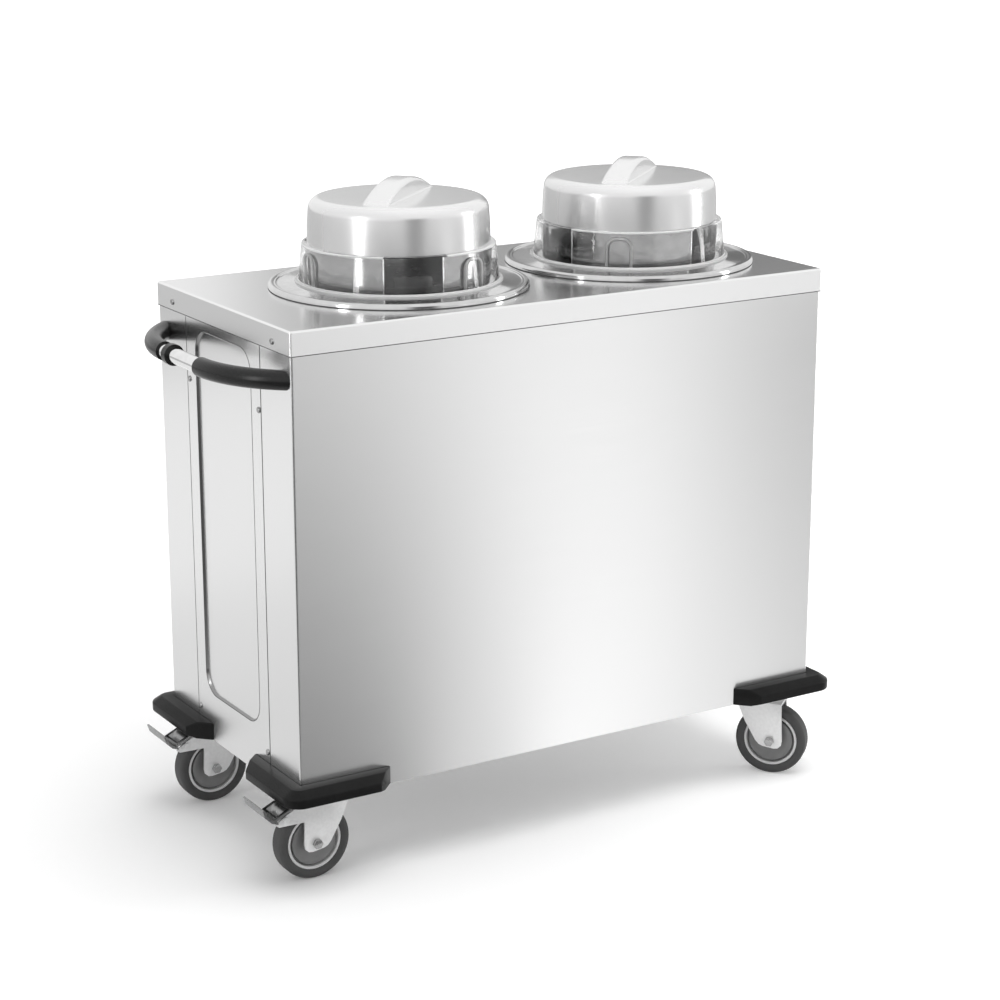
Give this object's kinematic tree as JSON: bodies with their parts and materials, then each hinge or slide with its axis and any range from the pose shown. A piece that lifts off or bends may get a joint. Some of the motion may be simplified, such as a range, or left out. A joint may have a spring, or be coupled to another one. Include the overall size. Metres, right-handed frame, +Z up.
{
  "type": "plate dispenser cart",
  "caption": "Closed sheet-steel cart with two sprung plate dispensers under stepped lids, an end push handle, corner bumpers and swivel casters.",
  "frame": {"origin": "on the floor under the middle of the whole cart, push handle and bumpers included", "axes": "+X along the cart away from the push handle, +Y across it towards the rear long face, +Z up"},
  "size_m": [1.1166, 0.547, 1.076],
  "materials": {
    "sheet_steel": "satin",
    "polished_steel": "polished",
    "zinc_steel": "zinc plated",
    "spring_wire": "drawn wire",
    "lid_plastic": "satin",
    "bumper_plastic": "matte",
    "grip_plastic": "satin",
    "tyre_rubber": "matte",
    "wheel_centre": "matte"
  },
  "bodies": {
    "cart": {"base_cross_rails": "sheet_steel", "caster_bolts": "zinc_steel", "caster_plates": "zinc_steel", "corner_returns": "sheet_steel", "far_end_panel": "sheet_steel", "far_front_bumper": "bumper_plastic", "far_rear_bumper": "bumper_plastic", "floor_plate": "sheet_steel", "front_base_rail": "sheet_steel", "front_handle_elbow": "grip_plastic", "front_shell": "sheet_steel", "handle_bolts": "sheet_steel", "handle_clip_ring": "grip_plastic", "handle_end_panel": "sheet_steel", "handle_front_bumper": "bumper_plastic", "handle_rear_bumper": "bumper_plastic", "handle_tube": "polished_steel", "left_carrier_springs": "spring_wire", "left_dispenser_flange": "polished_steel", "left_dispenser_tube": "sheet_steel", "left_guide_segments": "sheet_steel", "left_wire_loops": "polished_steel", "panel_screws": "sheet_steel", "rear_base_rail": "sheet_steel", "rear_handle_elbow": "grip_plastic", "rear_shell": "sheet_steel", "right_carrier_springs": "spring_wire", "right_dispenser_flange": "polished_steel", "right_dispenser_tube": "sheet_steel", "right_guide_segments": "sheet_steel", "right_wire_loops": "polished_steel", "swivel_bearings": "zinc_steel", "top_flanges": "sheet_steel", "tray_screws": "sheet_steel", "worktop_edge": "polished_steel", "worktop_tray": "polished_steel"},
    "handle_front_swivel": {"handle_front_fork": "zinc_steel", "handle_front_axle_bolt": "zinc_steel", "handle_front_brake_pin": "zinc_steel"},
    "handle_front_wheel": {"handle_front_tyre": "tyre_rubber", "handle_front_hub": "wheel_centre"},
    "handle_front_brake": {"handle_front_brake_pedal": "zinc_steel"},
    "handle_rear_swivel": {"handle_rear_fork": "zinc_steel", "handle_rear_axle_bolt": "zinc_steel", "handle_rear_brake_pin": "zinc_steel"},
    "handle_rear_wheel": {"handle_rear_tyre": "tyre_rubber", "handle_rear_hub": "wheel_centre"},
    "handle_rear_brake": {"handle_rear_brake_pedal": "zinc_steel"},
    "far_front_swivel": {"far_front_fork": "zinc_steel", "far_front_axle_bolt": "zinc_steel"},
    "far_front_wheel": {"far_front_tyre": "tyre_rubber", "far_front_hub": "wheel_centre"},
    "far_rear_swivel": {"far_rear_fork": "zinc_steel", "far_rear_axle_bolt": "zinc_steel"},
    "far_rear_wheel": {"far_rear_tyre": "tyre_rubber", "far_rear_hub": "wheel_centre"},
    "left_carrier": {"left_plate_carrier": "sheet_steel"},
    "left_lid": {"left_lid": "lid_plastic"},
    "right_carrier": {"right_plate_carrier": "sheet_steel"},
    "right_lid": {"right_lid": "lid_plastic"}
  },
  "joints": [
    {"name": "handle_front_caster_swivel", "type": "hinge", "parent": "cart", "child": "handle_front_swivel", "pos_m": [-0.39425, -0.187, 0.14], "axis": [0, 0, 1], "continuous": true},
    {"name": "handle_front_wheel_roll", "type": "hinge", "parent": "handle_front_swivel", "child": "handle_front_wheel", "pos_m": [-0.43225, -0.187, 0.0625], "axis": [0, -1, 0], "continuous": true},
    {"name": "handle_front_brake_press", "type": "hinge", "parent": "handle_front_swivel", "child": "handle_front_brake", "pos_m": [-0.48625, -0.187, 0.114], "axis": [0, -1, 0], "range_deg": [0, 12]},
    {"name": "handle_rear_caster_swivel", "type": "hinge", "parent": "cart", "child": "handle_rear_swivel", "pos_m": [-0.39425, 0.187, 0.14], "axis": [0, 0, 1], "continuous": true},
    {"name": "handle_rear_wheel_roll", "type": "hinge", "parent": "handle_rear_swivel", "child": "handle_rear_wheel", "pos_m": [-0.43225, 0.187, 0.0625], "axis": [0, -1, 0], "continuous": true},
    {"name": "handle_rear_brake_press", "type": "hinge", "parent": "handle_rear_swivel", "child": "handle_rear_brake", "pos_m": [-0.48625, 0.187, 0.114], "axis": [0, -1, 0], "range_deg": [0, 12]},
    {"name": "far_front_caster_swivel", "type": "hinge", "parent": "cart", "child": "far_front_swivel", "pos_m": [0.44375, -0.187, 0.14], "axis": [0, 0, 1], "continuous": true},
    {"name": "far_front_wheel_roll", "type": "hinge", "parent": "far_front_swivel", "child": "far_front_wheel", "pos_m": [0.46818, -0.21611, 0.0625], "axis": [0.766, 0.6428, 0], "continuous": true},
    {"name": "far_rear_caster_swivel", "type": "hinge", "parent": "cart", "child": "far_rear_swivel", "pos_m": [0.44375, 0.187, 0.14], "axis": [0, 0, 1], "continuous": true},
    {"name": "far_rear_wheel_roll", "type": "hinge", "parent": "far_rear_swivel", "child": "far_rear_wheel", "pos_m": [0.40575, 0.187, 0.0625], "axis": [0, -1, 0], "continuous": true},
    {"name": "left_carrier_travel", "type": "slide", "parent": "cart", "child": "left_carrier", "axis": [0, 0, 1], "range_m": [-0.55, 0], "stiffness_N_per_m": 650, "springref_m": 0.035, "deforming": ["left_carrier_springs"]},
    {"name": "left_lid_lift", "type": "slide", "parent": "cart", "child": "left_lid", "axis": [0, 0, 1], "range_m": [0, 0.2]},
    {"name": "right_carrier_travel", "type": "slide", "parent": "cart", "child": "right_carrier", "axis": [0, 0, 1], "range_m": [-0.55, 0], "stiffness_N_per_m": 650, "springref_m": 0.035, "deforming": ["right_carrier_springs"]},
    {"name": "right_lid_lift", "type": "slide", "parent": "cart", "child": "right_lid", "axis": [0, 0, 1], "range_m": [0, 0.2]}
  ]
}
